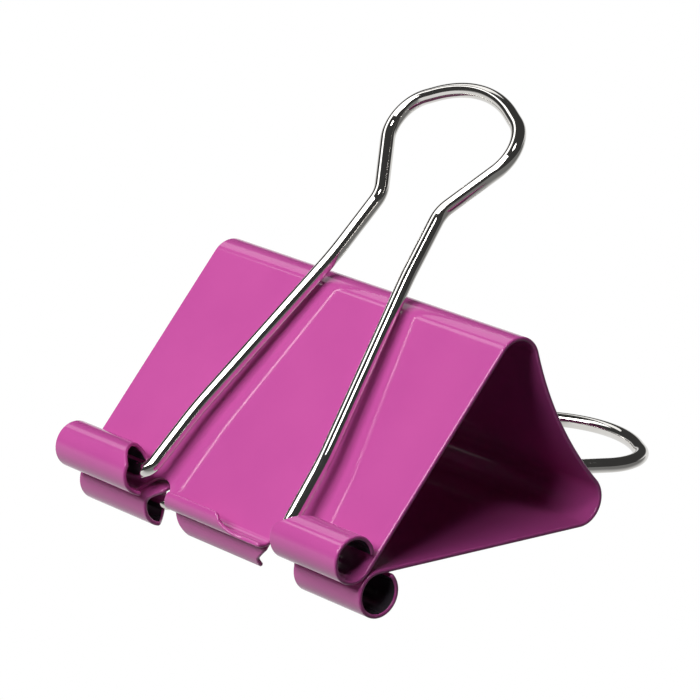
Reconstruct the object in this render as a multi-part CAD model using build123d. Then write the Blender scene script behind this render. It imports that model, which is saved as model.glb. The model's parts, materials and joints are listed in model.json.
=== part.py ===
from build123d import *
import os
from math import asin, atan2, cos, degrees, radians, sin, sqrt

# A 51 mm binder clip: a spring body bent from one sheet of steel, and two wire handles.
#
# The sheet is drawn in three stiff stretches joined by the two bends that flex:
#   upper_jaw - upper_bend - spine_panel - lower_bend - lower_jaw
# Each jaw edge is cut into three tongues. The two outer ones are rolled outward into barrels
# that hold a handle's wire ends, and the middle one is curled into a half-round lip.
#
# The section is worked out in the jaw frame: X along the clip, Y from the mouth towards the
# spine, Z from the lower barrels to the upper ones, with its origin between the barrels.
# The finished parts are then tilted and lifted until the clip stands on the floor, Z = 0, on
# its lower barrels and the end of its lower handle, with the middle of its box over the origin.

# Sheet-steel body
CLIP_WIDTH = 51.0
SHEET = 0.5
BARREL_R = 2.7              # outside radius of the rolled barrels
BARREL_ROLL = 318.0         # degrees that a barrel is rolled through
JAW_GAP = 0.15              # between the upper and lower barrels of the closed clip
BEND_R = 3.0                # outside radius of the two bends beside the spine
SPINE_R = 40.0              # hollow of the spine, seen from outside
UPPER_WALL_ANGLE = 12.4     # each wall against the plane where the closed jaws meet
LOWER_WALL_ANGLE = 37.6
UPPER_WALL_RUN = 27.7       # flat length of each wall, from barrel to bend
LOWER_WALL_RUN = 28.2

# Cuts between the tongues, as distances from the middle of the clip
SLOT_X = 11.2               # middle of the round-ended slot
SLOT_R = 2.2
SLOT_S = -1.5               # its centre, measured along the wall from the barrels
SLOT_DEPTH = 1.2            # how high up the roll it is cut
LIP_SLOT_END = 9.0          # the lip's two ends, where it leaves the wall
LIP_OPEN_END = 9.5
LEG_SEAT = 3.0              # how far the barrels' free edge is cut back beside a leg
UPPER_SLOT_BARREL = 12.2    # inner end of the barrel beside the slot
UPPER_OPEN_BARREL = 14.2    # inner end of the barrel at the other side of the lip
LOWER_SLOT_BARREL = 14.1
LOWER_OPEN_BARREL = 12.9
OPEN_BARREL_FOOT = 2.0      # the second barrel's foot starts this much nearer to the middle
OPEN_BARREL_SLOPE = 1.8     # height at which its sloping end is back at the barrel's full length

# The two lips differ: the upper one is curled tightly, and the lower one is wider and shallower.
# flat is how far the wall runs on before the curl. The ends are (x, height) corners that trim the
# curl, from the foot up beside the slot, and from the free edge down at the other side.
UPPER_LIP = {
    "radius": 1.65,
    "roll": 175.0,
    "flat": 0.85,
    "slot_end": ((-9.0, 0.0), (-7.1, 1.2), (-6.1, 3.3)),
    "open_end": ((2.8, 3.3), (6.5, 1.8), (9.5, 1.6)),
}
LOWER_LIP = {
    "radius": 2.5,
    "roll": 140.0,
    "flat": 0.0,
    "slot_end": ((-9.0, 0.0), (-8.8, 2.0), (-7.3, 3.6), (-7.3, 4.4)),
    "open_end": ((6.1, 4.4), (6.9, 3.2), (7.8, 1.4), (9.5, 0.9)),
}

# Wire handles
WIRE_R = 0.85
UPPER_WIRE_CLEAR = 0.44     # between a resting handle and the bend it leans on
LOWER_WIRE_CLEAR = 0.1
WIRE_END_X = 20.5           # where the wire stops inside a barrel
ELBOW_X = 12.5
ELBOW_R = 1.8
LEG_KNEES = ((11.5, 9.0), (6.33, 31.5))  # corners of the wire's centre line: distance from the
NECK = (5.2, 40.0)                       # middle, and from the barrel's axis
BOW_SIDE = (12.0, 50.5)
BOW_TOP = 56.9
LEG_KNEE_R = 30.0
NECK_R = 3.0
BOW_SIDE_R = 4.4
BOW_TOP_R = 13.6
UPPER_HANDLE_SHIFT = 1.0    # sideways play taken up by each handle
LOWER_HANDLE_SHIFT = 0.3
UPPER_BOW_SKEW = 0.026      # the bow leans over sideways by this slope, from the upper knees on
LOWER_BOW_SKEW = 0.0

HALF = CLIP_WIDTH / 2
FAR = 8.0                   # long enough for any cutting tool to pass right through
OVERCUT = 1.0               # how far a cutting tool runs on past the edge it trims
CUT_FLOOR = SHEET + 0.1     # cuts in the rolls start just above the flat wall


class Wall:
    """The section of one jaw's wall in the jaw frame. side is 1 for the upper, -1 for the lower."""

    def __init__(self, side, angle, run, wire_clear):
        self.side, self.angle, self.run, self.wire_clear = side, angle, run, wire_clear
        along = Vector(cos(radians(angle)), side * sin(radians(angle)))
        outward = Vector(-sin(radians(angle)), side * cos(radians(angle)))
        self.barrel = Vector(0, side * (BARREL_R + JAW_GAP / 2))
        self.foot = self.barrel - outward * BARREL_R
        self.bend = self.foot + along * run - outward * (BEND_R - SHEET)
        self.outward_angle = direction(outward)

    def handle_angle(self):
        """Direction of the folded-back handle, which leans on the bend."""
        to_bend = self.bend - self.barrel
        rise = degrees(asin((BEND_R + WIRE_R + self.wire_clear) / to_bend.length))
        return direction(to_bend) + self.side * rise


def direction(vector):
    return degrees(atan2(vector.Y, vector.X))


def across(face, x_from, x_to):
    """Extrude a section face along the clip."""
    return Pos(x_from, 0, 0) * extrude(Plane.YZ * face, amount=x_to - x_from)


def sheet_arc(centre, outside_r, start, sweep, inside_r=None):
    """Section of a curved stretch of the sheet."""
    inside_r = outside_r - SHEET if inside_r is None else inside_r
    outer = CenterArc(centre, outside_r, start, sweep)
    inner = CenterArc(centre, inside_r, start, sweep)
    return make_face([outer, Line(outer @ 1, inner @ 1), inner, Line(inner @ 0, outer @ 0)])


def front_cut(*corners):
    """A cutting block through the roll, outlined by (x, height) corners seen from the mouth."""
    outline = make_face(Polyline(*corners, close=True))
    return extrude(Plane.XZ * outline, amount=FAR, both=True)


def top_cut(*corners):
    """A cutting block above the wall, outlined by (x, distance along the wall) corners."""
    outline = make_face(Polyline(*corners, close=True))
    return Pos(0, 0, CUT_FLOOR) * extrude(outline, amount=FAR)


def lip(shape):
    """The middle tongue: its flat root, and a curl that is trimmed at both ends."""
    radius, flat = shape["radius"], shape["flat"]
    section = sheet_arc((-flat, radius), radius, -90, -shape["roll"])
    curl = across(section, -LIP_SLOT_END, LIP_OPEN_END)
    slot_x, open_x = shape["slot_end"][-1][0], shape["open_end"][0][0]
    far_x = LIP_OPEN_END + OVERCUT
    curl -= front_cut(*shape["slot_end"], (slot_x, FAR), (-far_x, FAR), (-far_x, 0))
    curl -= front_cut(*shape["open_end"], (far_x, 0), (far_x, FAR), (open_x, FAR))
    root = Box(
        LIP_SLOT_END + LIP_OPEN_END,
        flat + SHEET,
        SHEET,
        align=(Align.MIN, Align.MAX, Align.MIN),
    )
    return curl + Pos(-LIP_SLOT_END, SHEET, 0) * root


def barrels(slot_barrel, open_barrel):
    """The two rolled tongues, with their free edges cut back to seat the handle's legs."""
    section = sheet_arc((0, BARREL_R), BARREL_R, -90, -BARREL_ROLL)
    foot_x = open_barrel - OPEN_BARREL_FOOT
    left = across(section, -HALF, -slot_barrel)
    right = across(section, foot_x, HALF)
    right -= front_cut(
        (foot_x, CUT_FLOOR),
        (open_barrel, OPEN_BARREL_SLOPE),
        (open_barrel, FAR),
        (foot_x - OVERCUT, FAR),
        (foot_x - OVERCUT, CUT_FLOOR),
    )
    left -= top_cut(
        (-slot_barrel, -SHEET),
        (-slot_barrel - LEG_SEAT, BARREL_R),
        (-slot_barrel, BARREL_R),
    )
    right -= top_cut(
        (open_barrel, -SHEET),
        (open_barrel + LEG_SEAT, BARREL_R),
        (foot_x - OVERCUT, BARREL_R),
        (foot_x - OVERCUT, -SHEET),
    )
    return left + right


def jaw(wall, slot_barrel, open_barrel, lip_shape):
    """One wall with its tongues. The lower jaw is the upper one turned half round about Y."""
    plate = Pos(0, 0, SHEET / 2) * Box(CLIP_WIDTH, wall.run, SHEET)
    plate = Pos(0, wall.run / 2, 0) * plate
    slot = Pos(-SLOT_X, SLOT_S, -SHEET) * Cylinder(
        SLOT_R, SLOT_DEPTH + SHEET, align=(Align.CENTER, Align.CENTER, Align.MIN)
    )
    body = plate + lip(lip_shape) + barrels(slot_barrel, open_barrel) - slot
    turn = Rot(0, 0, 0) if wall.side > 0 else Rot(0, 180, 0)
    stand = Pos(0, wall.foot.X, wall.foot.Y) * Rot(wall.side * wall.angle, 0, 0)
    return stand * turn * body


def bend(wall, hollow):
    """The curved strip between a wall and the spine, which flexes as the jaw opens."""
    start = wall.outward_angle
    end = direction(hollow - wall.bend)
    section = sheet_arc((wall.bend.X, wall.bend.Y), BEND_R, start, end - start)
    return across(section, -HALF, HALF)


def spine_panel(upper, lower, hollow):
    start = direction(upper.bend - hollow) % 360
    end = direction(lower.bend - hollow) % 360
    centre = (hollow.X, hollow.Y)
    section = sheet_arc(centre, SPINE_R, start, end - start, inside_r=SPINE_R + SHEET)
    return across(section, -HALF, HALF)


def hollow_centre(upper, lower):
    """Centre of the spine's hollow arc, which runs smoothly into both bends."""
    middle = (upper.bend + lower.bend) / 2
    half_span = upper.bend - middle
    rise = sqrt((SPINE_R + BEND_R) ** 2 - half_span.length**2)
    return middle + Vector(half_span.Y, -half_span.X).normalized() * rise


def handle(wall, shift, skew):
    """A wire bent into two legs and a bow, with its ends turned outward into the barrels."""
    half = [(WIRE_END_X, 0), (ELBOW_X, 0), *LEG_KNEES, NECK, BOW_SIDE]
    even = [(-x, w) for x, w in half] + [(0, BOW_TOP)] + half[::-1]
    points = [(x - skew * max(0, w - LEG_KNEES[-1][1]), w) for x, w in even]
    side_radii = [ELBOW_R, LEG_KNEE_R, LEG_KNEE_R, NECK_R, BOW_SIDE_R]
    radii = side_radii + [BOW_TOP_R] + side_radii[::-1]
    path = FilletPolyline(*points, radius=radii)
    ring = Plane(origin=path @ 0, z_dir=path % 0) * Circle(WIRE_R)
    wire = sweep(ring, path=path)
    stand = Pos(shift, wall.barrel.X, wall.barrel.Y) * Rot(wall.handle_angle(), 0, 0)
    return stand * wire, path.bounding_box().max.Y


upper_wall = Wall(1, UPPER_WALL_ANGLE, UPPER_WALL_RUN, UPPER_WIRE_CLEAR)
lower_wall = Wall(-1, LOWER_WALL_ANGLE, LOWER_WALL_RUN, LOWER_WIRE_CLEAR)
spine_hollow = hollow_centre(upper_wall, lower_wall)
upper_handle, _ = handle(upper_wall, UPPER_HANDLE_SHIFT, UPPER_BOW_SKEW)
lower_handle, handle_reach = handle(lower_wall, LOWER_HANDLE_SHIFT, LOWER_BOW_SKEW)

nodes = {
    "spine_panel": spine_panel(upper_wall, lower_wall, spine_hollow),
    "upper_bend": bend(upper_wall, spine_hollow),
    "lower_bend": bend(lower_wall, spine_hollow),
    "upper_jaw": jaw(upper_wall, UPPER_SLOT_BARREL, UPPER_OPEN_BARREL, UPPER_LIP),
    "lower_jaw": jaw(lower_wall, LOWER_SLOT_BARREL, LOWER_OPEN_BARREL, LOWER_LIP),
    "upper_handle": upper_handle,
    "lower_handle": lower_handle,
}

# Stand the clip on the floor. The lower handle slopes from the barrel's axis down to the end of
# its bow, because the barrel is thicker than the wire.
slope = degrees(asin((BARREL_R - WIRE_R) / handle_reach))
rest_tilt = -lower_wall.handle_angle() - slope
tilted = Rot(rest_tilt, 0, 0)
upper_axis = (tilted * Pos(0, upper_wall.barrel.X, upper_wall.barrel.Y)).position
lower_axis = (tilted * Pos(0, lower_wall.barrel.X, lower_wall.barrel.Y)).position
front = min(upper_axis.Y, lower_axis.Y) - BARREL_R
back = lower_axis.Y + handle_reach * cos(radians(slope)) + WIRE_R
placed = Pos(0, -(front + back) / 2, BARREL_R - lower_axis.Z) * tilted

# Joint axes: the handles turn about the barrels, and each jaw swings about its bend's centre.
joint_points = {
    "upper_handle_fold": upper_wall.barrel,
    "lower_handle_fold": lower_wall.barrel,
    "upper_jaw_open": upper_wall.bend,
    "lower_jaw_open": lower_wall.bend,
}

os.makedirs("parts", exist_ok=True)
for name, solid in nodes.items():
    export_step(placed * solid, f"parts/{name}.step")
for name, point in joint_points.items():
    place = (placed * Pos(0, point.X, point.Y)).position
    print(f"{name}: hinge at y {place.Y:.3f}, z {place.Z:.3f} mm")
print(f"rest tilt {rest_tilt:.2f} degrees, handle reach {handle_reach:.2f} mm")
for wall in (upper_wall, lower_wall):
    print(f"handle lies {wall.handle_angle():.2f} degrees from the jaw plane")
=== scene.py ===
import json
from math import acos, asin, atan2, ceil, cos, hypot, pi, radians, sin, sqrt, tan

import bpy
import numpy as np
from mathutils import Matrix, Vector
from mathutils.geometry import delaunay_2d_cdt

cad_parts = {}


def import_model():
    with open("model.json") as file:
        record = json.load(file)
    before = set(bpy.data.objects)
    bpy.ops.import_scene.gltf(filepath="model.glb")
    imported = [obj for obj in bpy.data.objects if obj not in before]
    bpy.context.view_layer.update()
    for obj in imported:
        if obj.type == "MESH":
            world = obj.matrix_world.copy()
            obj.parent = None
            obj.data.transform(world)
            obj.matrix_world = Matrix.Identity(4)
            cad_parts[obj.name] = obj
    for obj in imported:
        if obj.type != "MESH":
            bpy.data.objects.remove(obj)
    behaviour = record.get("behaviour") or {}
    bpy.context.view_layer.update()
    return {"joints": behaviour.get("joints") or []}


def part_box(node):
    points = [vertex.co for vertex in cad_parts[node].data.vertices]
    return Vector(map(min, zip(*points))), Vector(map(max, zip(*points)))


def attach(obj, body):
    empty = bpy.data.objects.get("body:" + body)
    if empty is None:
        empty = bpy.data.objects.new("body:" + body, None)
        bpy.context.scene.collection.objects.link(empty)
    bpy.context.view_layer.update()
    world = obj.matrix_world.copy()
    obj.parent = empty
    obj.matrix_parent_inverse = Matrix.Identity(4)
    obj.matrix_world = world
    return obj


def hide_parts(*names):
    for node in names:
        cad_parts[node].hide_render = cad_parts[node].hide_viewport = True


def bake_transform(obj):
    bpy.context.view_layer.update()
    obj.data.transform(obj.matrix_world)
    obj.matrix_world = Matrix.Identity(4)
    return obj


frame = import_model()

# The looks of a 51 mm binder clip: one enamelled sheet of spring steel and two plated wires.
#
# The sheet is drawn as two halves that meet in the middle of the spine. Each half is cut out as a
# flat pattern, (x, t): x along the clip, and t along the sheet from the foot of the barrels, with
# the wall, the bend and the spine at t > 0 and the rolled tongues at t < 0. The pattern is then
# wrapped on the jaw's section, (y, z), which comes from the frame's joints. A roll is the angle
# that a tongue has curled through. Lengths are in mm, but in metres in the materials and the stage.

MM = 0.001
clip_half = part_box("spine_panel")[1].x / MM

# Sheet
SHEET = 0.5
BARREL_R = 2.7
BARREL_ROLL = radians(318)
BEND_R = 3.0
SPINE_R = 40.0
CORNER_R = 0.35                                 # rounding of the pattern's corners
EDGE_R = 0.22                                   # rounding of the cut edges
RIM_ANGLES = (radians(25), radians(50), radians(75), radians(90))   # from a face to the rim's middle
SHADE_AND_STEEL_ROLLS = (radians(70), radians(110))   # deeper in a barrel the colour darkens to near black: painted shade, partly bare steel under thin paint

# Cuts between the tongues, as distances from the middle of the clip
SLOT_X = 11.2
SLOT_R = 2.2
SLOT_T = -1.5
SLOT_ARC = (208, 22)        # degrees, from the barrel's end over the top to the lip's root
SLOT_CHANGE = 1.0           # width across the slot in which the curl changes to the barrel's
LIP_OPEN_FOOT = 9.85        # bottom of the narrow gap between the lip and the open barrel
LIP_ROOT_GAP = 0.5
LIP_DEPTH = -6.2            # t just past the deeper lip's free edge
OPEN_CHANGE = 1.6           # width beside the open barrel in which the curl changes

# Barrel ends: (beside the slot, at the open side)
BARREL_ENDS = {1: (12.2, 14.2), -1: (14.1, 12.9)}
LEG_SEAT = 3.0              # depth of the cut for the handle's leg
NOSE = 0.7                  # the slot-side barrel's front reaches this much nearer to the middle,
NOSE_ROLLS = (radians(48), radians(78))         # and eases back between these rolls
SLOT_END_ROLL = radians(62)                     # where that barrel's end meets the slot
OPEN_FOOT = 2.0             # the open barrel's foot reaches this much nearer to the middle,
OPEN_FOOT_ROLLS = (radians(25), radians(80))    # and slopes back between these rolls
OPEN_END_ROLL = radians(12)                     # where that barrel's end meets the gap

# Each jaw's lip: a flat root, then a curl. Its ends are (x, roll in degrees) corners, going up
# beside the slot and down at the other side.
LIPS = {
    1: {
        "radius": 1.65,
        "flat": 0.85,
        "slot_end": ((-8.6, 15), (-7.1, 75), (-6.7, 110), (-6.1, 175)),
        "open_end": ((2.8, 175), (3.7, 134), (4.7, 112), (5.8, 92), (6.6, 84), (9.4, 78)),
    },
    -1: {
        "radius": 2.5,
        "flat": 0.0,
        "slot_end": ((-9.0, 45), (-8.75, 76), (-8.2, 90), (-7.3, 112), (-7.3, 140)),
        "open_end": ((6.0, 140), (6.5, 120), (6.9, 105), (7.8, 62), (9.4, 48)),
    },
}

# Wire. Corners are (x, distance from the hinge).
WIRE_R = 0.85
WIRE_END_X = 20.5
ELBOW_X = 12.5
LEG_KNEES = ((11.5, 9.0), (6.33, 31.5))
NECK = (5.2, 40.0)
BOW_SIDE = (12.0, 50.5)
BOW_TOP = 56.9
WIRE_RADII = (1.8, 30.0, 30.0, 3.0, 4.4, 13.6, 4.4, 3.0, 30.0, 30.0, 1.8)
WIRE_CLEAR = {1: 0.44, -1: 0.1}     # gap to the bend that the handle leans on
BOW_SKEW = {1: 0.026, -1: 0.0}      # the bow leans sideways by this slope, from the last knees on
HANDLE_SHIFT = {1: 1.0, -1: 0.3}    # sideways play in the barrels
# Rings of a bevelled end: (share of the radius, how far along the wire, slant of the surface)
WIRE_END = ((0.02, -0.16, -1.0), (0.7, -0.16, -1.0), (0.9, -0.09, -0.7), (1.0, 0.0, 0.0))

# Fineness of the meshes
EDGE_STEP = 0.3             # along the pattern's edge
EDGE_PARTS = 4              # the step is divided into this many while the corners are rounded
EDGE_CLEAR = 0.12           # between the rim and the grid of a face
COLUMN_STEP = 0.8           # along the clip
FOOT_BAND = 1.0             # band above the foot of the wall, with closer rows
BEND_BAND = 0.6             # band on each side of a bend, with closer rows
SLOT_END_POINTS = 60
OPEN_END_POINTS = 70
SLOT_ARC_POINTS = 22
WELD = 1e-5                 # pattern points as close as this are one
RIM_PROBE = 0.02            # step in t that finds which way the sheet runs at its rim
FILLET_STEP = 0.25          # along the wire's rounded corners
WIRE_STEP = 0.3             # along the wire
WIRE_SIDES = 32

# Finishes. A surface varies between the two colours, and between the two roughnesses.
ENAMEL_COLOURS = (0.53, 0.080, 0.335), (0.565, 0.090, 0.355)
ENAMEL_ROUGHNESS = (0.07, 0.13)
NICKEL_COLOURS = (0.70, 0.68, 0.645), (0.79, 0.775, 0.745)
NICKEL_ROUGHNESS = (0.03, 0.10)
# Near-black colour deep in the barrels: painted shade, partly bare steel under thin paint
SHADE_AND_STEEL_COLOUR = (0.045, 0.04, 0.05)

NAMES = {1: "upper", -1: "lower"}


# ---------------------------------------------------------------- section of the sheet

def joint_point(name):
    """(y, z) of a joint's axis."""
    joint = next(j for j in frame["joints"] if j["name"] == name)
    return np.array(joint["pos_m"][1:]) / MM


def unit(angle):
    """Unit vectors at angles."""
    return np.stack([np.cos(angle), np.sin(angle)], axis=-1)


def heading(vector):
    """The angle of a vector."""
    return atan2(vector[1], vector[0])


def angle_between(start, end):
    """The angle from one vector to another, without its sign."""
    return acos((start @ end) / (hypot(*start) * hypot(*end)))


def smooth(value, start, end):
    """0 before start, 1 after end, with a smooth rise between."""
    share = np.clip((value - start) / (end - start), 0, 1)
    return share * share * (3 - 2 * share)


class Jaw:
    """The section of one half of the sheet. side is 1 for the upper half and -1 for the lower."""

    def __init__(self, side):
        self.side = side
        self.lip = LIPS[side]
        self.barrel = joint_point(f"{NAMES[side]}_handle_fold")
        self.bend = joint_point(f"{NAMES[side]}_jaw_open")
        reach = self.bend - self.barrel
        drop = BARREL_R + BEND_R - SHEET
        angle = heading(reach) + side * asin(drop / hypot(*reach))
        self.run = sqrt(reach @ reach - drop**2)
        self.along = unit(angle)
        self.out = unit(angle + side * pi / 2)
        self.foot = self.barrel - self.out * BARREL_R

    def meet(self, other):
        """Finds the spine's hollow, which runs smoothly into both bends, and this half's share."""
        middle = (self.bend + other.bend) / 2
        half = self.bend - middle
        away = middle - (self.barrel + other.barrel) / 2
        normal = np.array([half[1], -half[0]]) / hypot(*half)
        normal *= np.sign(normal @ away)
        rise = sqrt((SPINE_R + BEND_R) ** 2 - half @ half)
        self.hollow = middle + normal * rise
        bend_turn = angle_between(self.out, self.hollow - self.bend)
        spine_turn = angle_between(self.bend - self.hollow, middle - self.hollow)
        self.bend_turn = bend_turn
        self.bend_end = self.run + (BEND_R - SHEET) * bend_turn
        self.end = self.bend_end + (SPINE_R + SHEET) * spine_turn

    def roll(self, centre, radius, angle):
        """Inner-face points and outward directions on a roll, at angles from its foot."""
        spoke = unit(heading(-self.out) - self.side * angle)
        return centre + radius * spoke, -spoke

    def tongue(self, x, t, flat):
        """Inner-face points and outward directions on the tongues: the lip and the barrels."""
        radius, root = self.lip["radius"], self.lip["flat"]
        lip_centre = self.foot - self.along * root + self.out * radius
        lip, lip_out = self.roll(lip_centre, radius, np.clip((-t - root) / radius, 0, None))
        lip = np.where(t[:, None] > -root, flat, lip)
        barrel, barrel_out = self.roll(self.barrel, BARREL_R, -t / BARREL_R)
        share = self.barrel_share(x)[:, None]
        return lip + (barrel - lip) * share, lip_out + (barrel_out - lip_out) * share

    def barrel_share(self, x):
        """1 where the pattern's front is rolled as a barrel, 0 where it is curled as the lip."""
        open_foot = BARREL_ENDS[self.side][1] - OPEN_FOOT
        slot_side = smooth(-x, SLOT_X - SLOT_CHANGE / 2, SLOT_X + SLOT_CHANGE / 2)
        return slot_side + smooth(x, open_foot - OPEN_CHANGE, open_foot)

    def place(self, x, t):
        """Inner-face points of the sheet and the directions to its outer face, both as (y, z)."""
        flat = self.foot + self.along * t[:, None]
        tongue, tongue_out = self.tongue(x, t, flat)
        bend_angle = np.clip((t - self.run) / (BEND_R - SHEET), 0, self.bend_turn)
        bend_out = unit(heading(self.out) - self.side * bend_angle)
        bent = self.bend + (BEND_R - SHEET) * bend_out
        spine_angle = (t - self.bend_end) / (SPINE_R + SHEET)
        spine_in = unit(heading(self.bend - self.hollow) + self.side * spine_angle)
        hollow = self.hollow + (SPINE_R + SHEET) * spine_in
        flat_out = np.broadcast_to(self.out, flat.shape)
        places = [t[:, None] < 0, t[:, None] < self.run, t[:, None] < self.bend_end]
        point = np.select(places, [tongue, flat, bent], hollow)
        outward = np.select(places, [tongue_out, flat_out, bend_out], -spine_in)
        return point, outward / np.linalg.norm(outward, axis=1)[:, None]


jaws = {1: Jaw(1), -1: Jaw(-1)}
jaws[1].meet(jaws[-1])
jaws[-1].meet(jaws[1])


# ---------------------------------------------------------------- flat pattern

def leg_seat(roll):
    """How far a barrel's end is cut back at a roll, to seat the handle's leg."""
    back = -BARREL_R * np.sin(roll)
    return LEG_SEAT * np.clip((back + SHEET) / (BARREL_R + SHEET), 0, 1) * (roll > pi / 2)


def slot_barrel_end(jaw):
    """The end of the barrel beside the slot, from its free edge to the slot."""
    rolls = np.linspace(BARREL_ROLL, SLOT_END_ROLL, SLOT_END_POINTS)
    nose = NOSE * (1 - smooth(rolls, *NOSE_ROLLS))
    x = -BARREL_ENDS[jaw.side][0] + nose - leg_seat(rolls)
    return list(zip(x, -BARREL_R * rolls))


def open_barrel_end(jaw):
    """The end of the other barrel, from the gap beside the lip to its free edge."""
    rolls = np.linspace(OPEN_END_ROLL, BARREL_ROLL, OPEN_END_POINTS)
    ease = smooth(rolls, *OPEN_FOOT_ROLLS)
    x = BARREL_ENDS[jaw.side][1] - OPEN_FOOT * (1 - ease) + leg_seat(rolls)
    return list(zip(x, -BARREL_R * rolls))


def slot_edge():
    """The round-ended slot between the barrel and the lip."""
    start, end = (radians(degrees) for degrees in SLOT_ARC)
    angles = np.linspace(start, end, SLOT_ARC_POINTS)
    return [tuple(np.array((-SLOT_X, SLOT_T)) + SLOT_R * unit(angle)) for angle in angles]


def lip_edge(jaw):
    """The lip, from its root beside the slot round to its low open end."""
    radius, root = jaw.lip["radius"], jaw.lip["flat"]
    corners = jaw.lip["slot_end"] + jaw.lip["open_end"]
    points = [(x, -root - radius * radians(roll)) for x, roll in corners]
    return points + [(LIP_OPEN_FOOT, -LIP_ROOT_GAP)]


def outline(jaw):
    """The half sheet's outline, starting in the middle of the spine at the slot's side."""
    free = -BARREL_R * BARREL_ROLL
    points = [(-clip_half, jaw.end), (-clip_half, free)]
    points += slot_barrel_end(jaw) + slot_edge() + lip_edge(jaw) + open_barrel_end(jaw)
    return points + [(clip_half, free), (clip_half, jaw.end)]


def rounded(points, radius):
    """Rounds the corners of a closed outline and spaces its points evenly."""
    points = np.array(points)
    part = EDGE_STEP / EDGE_PARTS
    fine = []
    for a, b in zip(points, np.roll(points, -1, axis=0)):
        count = max(1, ceil(np.linalg.norm(b - a) / part))
        fine += [a + (b - a) * k / count for k in range(count)]
    fine = np.array(fine)
    spread = max(1, int(radius / part))
    weights = np.hanning(2 * spread + 3)[1:-1]
    weights /= weights.sum()
    padded = np.concatenate([fine[-spread:], fine, fine[:spread]])
    soft = np.stack([np.convolve(padded[:, k], weights, "valid") for k in (0, 1)], axis=1)
    return soft[::EDGE_PARTS]


def sheet_edge(jaw):
    """The pattern's edge with rounded corners, but square where the two halves meet."""
    soft = rounded(outline(jaw), CORNER_R)
    cut = soft[soft[:, 1] < jaw.end - EDGE_STEP]
    x = np.linspace(clip_half, -clip_half, ceil(2 * clip_half / EDGE_STEP))
    return np.concatenate([cut, np.column_stack([x, np.full(len(x), jaw.end)])])


def outward_of(points):
    """Directions out of a closed anticlockwise outline."""
    tangent = np.roll(points, -1, axis=0) - np.roll(points, 1, axis=0)
    tangent /= np.linalg.norm(tangent, axis=1)[:, None]
    return np.stack([tangent[:, 1], -tangent[:, 0]], axis=1)


def rim_of(jaw, edge):
    """Directions out of the pattern's edge, and the rim's rounding, which is zero at the seam."""
    outward = outward_of(edge)
    at_seam = edge[:, 1] == jaw.end
    corner = at_seam & (np.abs(edge[:, 0]) == clip_half)
    outward[corner] = np.column_stack([np.sign(edge[corner, 0]), 0 * edge[corner, 1]])
    return outward, outward * np.where(at_seam & ~corner, 0.0, EDGE_R)[:, None]


# ---------------------------------------------------------------- meshes

def mesh_object(name, vertices, polygons, normals):
    """A smooth mesh object from points in mm, with its own vertex normals."""
    mesh = bpy.data.meshes.new(name)
    mesh.from_pydata((vertices * MM).tolist(), [], polygons)
    mesh.validate()
    mesh.update()
    mesh.shade_smooth()
    mesh.normals_split_custom_set_from_vertices(normals.tolist())
    piece = bpy.data.objects.new(name, mesh)
    bpy.context.scene.collection.objects.link(piece)
    return piece


def rows(jaw):
    """The pattern's rows, as values of t. They are close together where the sheet curves."""
    free = -BARREL_R * BARREL_ROLL
    stretches = (  # from, to, step
        (free, LIP_DEPTH, 0.24),
        (LIP_DEPTH, 0.0, 0.13),
        (0.0, FOOT_BAND, 0.25),
        (FOOT_BAND, jaw.run - BEND_BAND, 1.1),
        (jaw.run - BEND_BAND, jaw.run, 0.2),
        (jaw.run, jaw.bend_end, 0.16),
        (jaw.bend_end, jaw.bend_end + BEND_BAND, 0.2),
        (jaw.bend_end + BEND_BAND, jaw.end, 0.8),
    )
    values = []
    for low, high, step in stretches:
        count = max(2, ceil((high - low) / step))
        values += list(np.linspace(low, high, count, endpoint=False))
    return values


def inside(points, loop):
    """Which points are inside a closed outline."""
    x, y = points[:, 0], points[:, 1]
    hit = np.zeros(len(points), bool)
    for (x0, y0), (x1, y1) in zip(loop, np.roll(loop, -1, axis=0)):
        crosses = (y0 > y) != (y1 > y)
        if y0 != y1:
            hit ^= crosses & (x < (x1 - x0) * (y - y0) / (y1 - y0) + x0)
    return hit


def ring_of(loop):
    """Pairs of neighbouring indices round a closed loop."""
    count = len(loop)
    return [(k, (k + 1) % count) for k in range(count)]


def filled(jaw, face_loop, clear):
    """Triangles that fill a face's outline, with its grid of points kept inside a smaller one."""
    columns = np.linspace(-clip_half, clip_half, int(2 * clip_half / COLUMN_STEP))
    grid = np.array([(x, t) for t in rows(jaw) for x in columns])
    points = np.concatenate([face_loop, grid[inside(grid, clear)]])
    vectors = [Vector(point) for point in points]
    only_inside = 1
    made = delaunay_2d_cdt(vectors, ring_of(face_loop), [], only_inside, WELD)
    flat, _, faces = made[:3]
    return np.array(flat), faces


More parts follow.
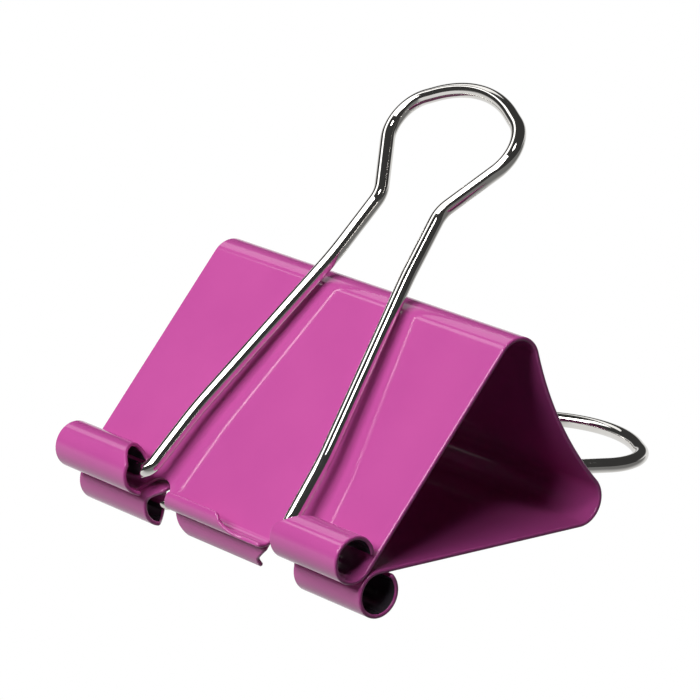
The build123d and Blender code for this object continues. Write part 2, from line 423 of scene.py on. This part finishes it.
class Layers:
    """The points of one half of the sheet, in layers at heights above its inner face.

    The lower half is laid out like the upper one turned half round, so its x runs the other way.
    """

    def __init__(self, jaw):
        self.jaw = jaw
        self.vertices = []
        self.normals = []
        self.shade_and_steel = []

    def add(self, pattern, height, point, outward, normals):
        """Adds a layer and returns the index of its first point."""
        first = sum(len(layer) for layer in self.vertices)
        x, t = pattern[:, 0], pattern[:, 1]
        self.vertices.append(np.column_stack([self.jaw.side * x, point + outward * height]))
        self.normals.append(normals)
        # Painted shade: the outer face darkens deep in the barrels, partly for bare steel under thin
        # paint
        shade_and_steel_amount = smooth(-t / BARREL_R, *SHADE_AND_STEEL_ROLLS) * self.jaw.barrel_share(x)
        self.shade_and_steel.append(shade_and_steel_amount * (height == SHEET))
        return first

    def face(self, pattern, height, way):
        """A whole face, which looks outward if way is 1 and inward if it is -1."""
        x, t = pattern[:, 0], pattern[:, 1]
        point, outward = self.jaw.place(x, t)
        normals = way * np.column_stack([0 * x, outward])
        return self.add(pattern, height, point, outward, normals)

    def rim(self, pattern, height, edge_out, slant):
        """A ring of the rim. Its normals point out of the edge, leaning outward by the slant."""
        x, t = pattern[:, 0], pattern[:, 1]
        point, outward = self.jaw.place(x, t)
        ahead, _ = self.jaw.place(x, t + RIM_PROBE)
        t_way = np.column_stack([0 * x, ahead - point]) / RIM_PROBE
        x_way = np.array([self.jaw.side, 0, 0])
        edge = edge_out[:, :1] * x_way + edge_out[:, 1:] * t_way
        edge /= np.linalg.norm(edge, axis=1)[:, None]
        normals = np.column_stack([0 * x, outward]) * slant + edge * sqrt(1 - slant**2)
        return self.add(pattern, height, point, outward, normals)


def sheet_half(jaw):
    """One half of the sheet: its two faces, joined by a rim that is rounded except at the seam."""
    edge = sheet_edge(jaw)
    edge_out, rounding = rim_of(jaw, edge)
    face_loop = edge - rounding
    flat, faces = filled(jaw, face_loop, edge - edge_out * (EDGE_R + EDGE_CLEAR))

    layers = Layers(jaw)
    outer = layers.face(flat, SHEET, 1)
    inner = layers.face(flat, 0.0, -1)
    rings = [outer]
    for angle in RIM_ANGLES:
        height = SHEET - EDGE_R * (1 - cos(angle))
        rings.append(layers.rim(face_loop + rounding * sin(angle), height, edge_out, cos(angle)))
    for angle in reversed(RIM_ANGLES):
        height = EDGE_R * (1 - cos(angle))
        rings.append(layers.rim(face_loop + rounding * sin(angle), height, edge_out, -cos(angle)))
    rings.append(inner)

    polygons = [[outer + k for k in face] for face in faces]
    polygons += [[inner + k for k in face[::-1]] for face in faces]
    for upper, lower in zip(rings, rings[1:]):
        polygons += [[upper + a, lower + a, lower + b, upper + b] for a, b in ring_of(face_loop)]

    vertices, normals = np.concatenate(layers.vertices), np.concatenate(layers.normals)
    half = mesh_object(f"{NAMES[jaw.side]}_sheet_half", vertices, polygons, normals)
    attribute = half.data.attributes.new("shade_and_steel", "FLOAT", "POINT")
    attribute.data.foreach_set("value", np.concatenate(layers.shade_and_steel).astype(np.float32))
    return half


def filleted(corners, radii, step):
    """Points along a path of straight runs, with an arc of its own radius at each corner."""
    corners = [np.array(corner, float) for corner in corners]
    points = [corners[0]]
    for before, corner, after, radius in zip(corners, corners[1:], corners[2:], radii):
        back = (before - corner) / np.linalg.norm(before - corner)
        ahead = (after - corner) / np.linalg.norm(after - corner)
        half = acos(back @ ahead) / 2
        tangent = radius / tan(half)
        centre = corner + (back + ahead) / np.linalg.norm(back + ahead) * radius / sin(half)
        sweep = pi - 2 * half
        first = heading(corner + back * tangent - centre)
        turn = np.sign(back[0] * ahead[1] - back[1] * ahead[0])
        count = max(3, ceil(radius * sweep / step))
        points += list(centre + radius * unit(first - turn * np.linspace(0, sweep, count)))
    return np.array(points + [corners[-1]])


def evenly(points, step):
    """A path's points again, at even distances along it."""
    lengths = np.concatenate([[0], np.cumsum(np.linalg.norm(np.diff(points, axis=0), axis=1))])
    at = np.linspace(0, lengths[-1], ceil(lengths[-1] / step))
    return np.column_stack([np.interp(at, lengths, points[:, k]) for k in range(points.shape[1])])


def wire_path(side):
    """The middle line of a handle's wire, as (x, distance from the hinge)."""
    half = [(WIRE_END_X, 0), (ELBOW_X, 0), *LEG_KNEES, NECK, BOW_SIDE]
    upright = [(-x, away) for x, away in half] + [(0, BOW_TOP)] + half[::-1]
    skew, last_knee = BOW_SKEW[side], LEG_KNEES[-1][1]
    corners = [(x - skew * max(0, away - last_knee), away) for x, away in upright]
    return evenly(filleted(corners, WIRE_RADII, FILLET_STEP), WIRE_STEP)


def wire_stops(last):
    """(index in the path, share of the radius, push along the wire, slant) of every ring."""
    start = [(0, share, push, slant) for share, push, slant in WIRE_END]
    middle = [(k, 1.0, 0.0, 0.0) for k in range(1, last)]
    end = [(last, share, -push, -slant) for share, push, slant in reversed(WIRE_END)]
    return start + middle + end


def handle(jaw):
    """A wire handle, leaning on its bend: a round tube with bevelled ends."""
    path = wire_path(jaw.side)
    tangent = np.gradient(path, axis=0)
    tangent /= np.linalg.norm(tangent, axis=1)[:, None]
    reach = jaw.bend - jaw.barrel
    lean_gap = BEND_R + WIRE_R + WIRE_CLEAR[jaw.side]
    lean = heading(reach) + jaw.side * asin(lean_gap / hypot(*reach))
    across = np.array([1.0, 0, 0])
    along = np.concatenate([[0], unit(lean)])
    lift = np.concatenate([[0], unit(lean + pi / 2)])
    origin = np.concatenate([[HANDLE_SHIFT[jaw.side]], jaw.barrel])

    turns = np.linspace(0, 2 * pi, WIRE_SIDES, endpoint=False)
    stops = wire_stops(len(path) - 1)
    vertices, normals = [], []
    for k, share, push, slant in stops:
        centre = origin + across * path[k, 0] + along * path[k, 1]
        direction = across * tangent[k, 0] + along * tangent[k, 1]
        beside = np.cross(lift, direction)
        ring = np.cos(turns)[:, None] * beside + np.sin(turns)[:, None] * lift
        vertices.append(centre + direction * push + WIRE_R * share * ring)
        normals.append(ring * sqrt(1 - slant**2) + direction * slant)

    polygons = []
    for first in range(0, (len(stops) - 1) * WIRE_SIDES, WIRE_SIDES):
        for a, b in ring_of(turns):
            next_ring = first + WIRE_SIDES
            polygons.append([first + a, first + b, next_ring + b, next_ring + a])
    last_ring = (len(stops) - 1) * WIRE_SIDES
    polygons.append(list(range(WIRE_SIDES))[::-1])
    polygons.append([last_ring + k for k in range(WIRE_SIDES)])
    vertices, normals = np.concatenate(vertices), np.concatenate(normals)
    return mesh_object(f"{NAMES[jaw.side]}_wire", vertices, polygons, normals)


# ---------------------------------------------------------------- shader nodes

def new_material(name):
    """A new material, its node tree and its Principled shader."""
    material = bpy.data.materials.new(name)
    material.use_nodes = True
    tree = material.node_tree
    return material, tree, tree.nodes["Principled BSDF"]


def node(tree, kind, **settings):
    """A new node. A setting is an input's value where an input has its name."""
    made = tree.nodes.new(kind)
    for key, value in settings.items():
        if key in made.inputs:
            made.inputs[key].default_value = value
        else:
            setattr(made, key, value)
    return made


def noise(tree, scale, detail, roughness=0.5):
    """A noise over the object, with a scale in cells per metre."""
    coordinates = node(tree, "ShaderNodeTexCoord")
    made = node(tree, "ShaderNodeTexNoise", Scale=scale, Detail=detail, Roughness=roughness)
    tree.links.new(coordinates.outputs["Object"], made.inputs["Vector"])
    return made.outputs["Fac"]


def ramp(tree, source, span, colours):
    """Goes from one colour to another as the source crosses a span."""
    made = node(tree, "ShaderNodeValToRGB")
    for element, position, colour in zip(made.color_ramp.elements, span, colours):
        element.position = position
        element.color = (*colour, 1)
    tree.links.new(source, made.inputs["Fac"])
    return made.outputs["Color"]


def greys(values):
    return [(value, value, value) for value in values]


def bump(tree, source, strength, distance):
    """Relief from a source, with its depth in metres."""
    made = node(tree, "ShaderNodeBump", Strength=strength, Distance=distance)
    tree.links.new(source, made.inputs["Height"])
    return made.outputs["Normal"]


def map_range(tree, source, span, values):
    """Goes smoothly between two values as the source crosses a span."""
    made = node(tree, "ShaderNodeMapRange", interpolation_type="SMOOTHSTEP")
    made.inputs["From Min"].default_value, made.inputs["From Max"].default_value = span
    made.inputs["To Min"].default_value, made.inputs["To Max"].default_value = values
    tree.links.new(source, made.inputs["Value"])
    return made.outputs["Result"]


def mixed(tree, factor, low, high):
    """A number that goes from low to high with a factor. Either end may be a socket."""
    made = node(tree, "ShaderNodeMix")
    tree.links.new(factor, made.inputs["Factor"])
    for end, value in (("A", low), ("B", high)):
        if isinstance(value, float):
            made.inputs[end].default_value = value
        else:
            tree.links.new(value, made.inputs[end])
    return made.outputs["Result"]


def mixed_colour(tree, factor, low, high):
    """A colour that goes from a socket's to a fixed one with a factor."""
    made = node(tree, "ShaderNodeMix", data_type="RGBA")
    sockets = {socket.identifier: socket for socket in (*made.inputs, *made.outputs)}
    tree.links.new(factor, sockets["Factor_Float"])
    tree.links.new(low, sockets["A_Color"])
    sockets["B_Color"].default_value = (*high, 1)
    return sockets["Result_Color"]


# ---------------------------------------------------------------- materials

def enamel():
    """Glossy enamel with a faint orange peel, darkened deep in the barrels by painted shade, partly
    bare steel under thin paint.
    """
    material, tree, shader = new_material("enamel")
    shader.inputs["IOR"].default_value = 1.5
    colour = ramp(tree, noise(tree, scale=90, detail=3), (0.30, 0.70), ENAMEL_COLOURS)
    # Painted shade deep in the barrels, partly bare steel under thin paint
    thin = node(tree, "ShaderNodeAttribute", attribute_name="shade_and_steel")
    colour_with_shade = mixed_colour(tree, thin.outputs["Fac"], colour, SHADE_AND_STEEL_COLOUR)
    tree.links.new(colour_with_shade, shader.inputs["Base Color"])
    haze = noise(tree, scale=900, detail=4)
    gloss = ramp(tree, haze, (0.35, 0.75), greys(ENAMEL_ROUGHNESS))
    tree.links.new(gloss, shader.inputs["Roughness"])
    peel = bump(tree, noise(tree, scale=1100, detail=1), strength=0.05, distance=0.00002)
    tree.links.new(peel, shader.inputs["Normal"])
    return material


def nickel():
    """Polished nickel plate with faint drawing marks."""
    material, tree, shader = new_material("nickel")
    shader.inputs["Metallic"].default_value = 1.0
    colour = ramp(tree, noise(tree, scale=260, detail=3), (0.3, 0.7), NICKEL_COLOURS)
    tree.links.new(colour, shader.inputs["Base Color"])
    haze = noise(tree, scale=1500, detail=5, roughness=0.7)
    gloss = ramp(tree, haze, (0.4, 0.75), greys(NICKEL_ROUGHNESS))
    tree.links.new(gloss, shader.inputs["Roughness"])
    marks = bump(tree, noise(tree, scale=2200, detail=2), strength=0.09, distance=0.00001)
    tree.links.new(marks, shader.inputs["Normal"])
    return material


# ---------------------------------------------------------------- the clip

paint, plate = enamel(), nickel()
for side, jaw in jaws.items():
    name = NAMES[side]
    half = sheet_half(jaw)
    half.data.materials.append(paint)
    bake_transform(half)
    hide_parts(f"{name}_jaw", f"{name}_bend")
    if side > 0:
        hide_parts("spine_panel")
    wire = handle(jaw)
    wire.data.materials.append(plate)
    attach(wire, f"{name}_handle")
    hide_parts(f"{name}_handle")


# ---------------------------------------------------------------- stage, lights and camera

FLOOR_HALF = 6.0
FLOOR_Z = -0.08             # below the reach of the opened jaw and the folded handles
# The floor's brightness falls off along X, towards the camera's side: (from, to), (high, low)
FLOOR_MIRRORED = (-0.05, 0.12), (0.85, 0.2)
FLOOR_LIGHTING = (-0.07, 0.03), (0.36, 0.0)
# The world's brightness falls off with height, and from behind the clip to the camera's side
WORLD_HEIGHT = (0.03, 0.20), (0.85, 0.0)
WORLD_AWAY = (-0.5, 0.1), (1.0, 0.0)
WORLD_DARK = 0.045          # its least brightness in mirrors
WORLD_LIGHTING = 0.005      # its brightness as light on the clip
# (direction from the clip, width, height, watts)
SOFTBOXES = {
    "key": ((-0.05, -0.69, 0.72), 0.75, 0.42, 7.9),
    "side": ((-0.52, -0.40, 0.755), 0.62, 0.27, 1.1),
    "rear": ((-0.70, 0.25, 0.66), 0.5, 0.22, 0.42),
    "end": ((0.384, -0.202, 0.898), 0.16, 0.16, 1.1),
}
SOFTBOX_DISTANCE = 0.9
SOFTBOX_TARGET = (0, 0, 0.02)
CAMERA_TARGET = (-0.00265, -0.00582, 0.01859)
CAMERA_DISTANCE = 0.4893
CAMERA_AZIMUTH = radians(52.17)
CAMERA_ELEVATION = radians(18.49)
CAMERA_ROLL = radians(-2.31)
CAMERA_LENS = 225.66
CAMERA_SENSOR = 36
CAMERA_CLIP = (0.01, 20)


def towards_camera(elevation):
    """The direction from the clip to the camera's side, at an elevation."""
    flat = cos(elevation)
    return Vector((sin(CAMERA_AZIMUTH) * flat, -cos(CAMERA_AZIMUTH) * flat, sin(elevation)))


def white_to_camera(tree, mirrored, lighting):
    """A brightness that is white to the camera, but dimmer in mirrors and as light on the clip."""
    path = node(tree, "ShaderNodeLightPath")
    dimmed = mixed(tree, path.outputs["Is Diffuse Ray"], mirrored, lighting)
    return mixed(tree, path.outputs["Is Camera Ray"], dimmed, 1.0)


def floor():
    """A plain white floor. It shows white, but lights the clip softly and only from one side."""
    x, y = FLOOR_HALF, FLOOR_HALF
    mesh = bpy.data.meshes.new("floor")
    corners = [(-x, -y, FLOOR_Z), (x, -y, FLOOR_Z), (x, y, FLOOR_Z), (-x, y, FLOOR_Z)]
    mesh.from_pydata(corners, [], [(0, 1, 2, 3)])
    made = bpy.data.objects.new("floor", mesh)
    bpy.context.scene.collection.objects.link(made)
    material, tree, shader = new_material("floor")
    shader.inputs["Base Color"].default_value = (0, 0, 0, 1)
    shader.inputs["Roughness"].default_value = 1.0
    shader.inputs["Specular IOR Level"].default_value = 0.0
    shader.inputs["Emission Color"].default_value = (1, 1, 1, 1)
    coordinates = node(tree, "ShaderNodeTexCoord")
    split = node(tree, "ShaderNodeSeparateXYZ")
    tree.links.new(coordinates.outputs["Object"], split.inputs["Vector"])
    mirrored = map_range(tree, split.outputs["X"], *FLOOR_MIRRORED)
    lighting = map_range(tree, split.outputs["X"], *FLOOR_LIGHTING)
    shown = white_to_camera(tree, mirrored, lighting)
    tree.links.new(shown, shader.inputs["Emission Strength"])
    mesh.materials.append(material)


def world():
    """Bright low down behind the clip, and dark above it and on the camera's side."""
    made = bpy.data.worlds.new("studio")
    bpy.context.scene.world = made
    made.use_nodes = True
    tree = made.node_tree
    background = tree.nodes["Background"]
    background.inputs["Color"].default_value = (1, 1, 1, 1)
    direction = node(tree, "ShaderNodeTexCoord").outputs["Generated"]
    split = node(tree, "ShaderNodeSeparateXYZ")
    tree.links.new(direction, split.inputs["Vector"])
    height = map_range(tree, split.outputs["Z"], *WORLD_HEIGHT)
    facing = node(tree, "ShaderNodeVectorMath", operation="DOT_PRODUCT")
    tree.links.new(direction, facing.inputs[0])
    facing.inputs[1].default_value = towards_camera(0)
    away = map_range(tree, facing.outputs["Value"], *WORLD_AWAY)
    light = node(tree, "ShaderNodeMath", operation="MULTIPLY_ADD")
    tree.links.new(height, light.inputs[0])
    tree.links.new(away, light.inputs[1])
    light.inputs[2].default_value = WORLD_DARK
    shown = white_to_camera(tree, light.outputs["Value"], WORLD_LIGHTING)
    tree.links.new(shown, background.inputs["Strength"])


def look(location, target, roll=0.0):
    """Matrix of something at a location that looks at a target."""
    forward = (Vector(target) - Vector(location)).normalized()
    turn = forward.to_track_quat("-Z", "Y").to_matrix().to_4x4()
    return Matrix.Translation(location) @ turn @ Matrix.Rotation(roll, 4, "Z")


def softbox(name, toward, width, height, watts):
    """A soft area light in a direction from the clip, facing it."""
    light = bpy.data.lights.new(name, "AREA")
    light.shape = "RECTANGLE"
    light.size, light.size_y = width, height
    light.energy = watts
    made = bpy.data.objects.new(name, light)
    bpy.context.scene.collection.objects.link(made)
    location = Vector(toward).normalized() * SOFTBOX_DISTANCE
    made.matrix_world = look(location, SOFTBOX_TARGET)


def camera():
    """A long lens that looks at the clip from the front right, a little above it."""
    data = bpy.data.cameras.new("camera")
    data.sensor_width = CAMERA_SENSOR
    data.lens = CAMERA_LENS
    data.clip_start, data.clip_end = CAMERA_CLIP
    made = bpy.data.objects.new("camera", data)
    bpy.context.scene.collection.objects.link(made)
    location = Vector(CAMERA_TARGET) + towards_camera(CAMERA_ELEVATION) * CAMERA_DISTANCE
    made.matrix_world = look(location, CAMERA_TARGET, CAMERA_ROLL)
    bpy.context.scene.camera = made


floor()
world()
for name, settings in SOFTBOXES.items():
    softbox(name, *settings)
camera()
bpy.context.scene.view_settings.view_transform = "Standard"
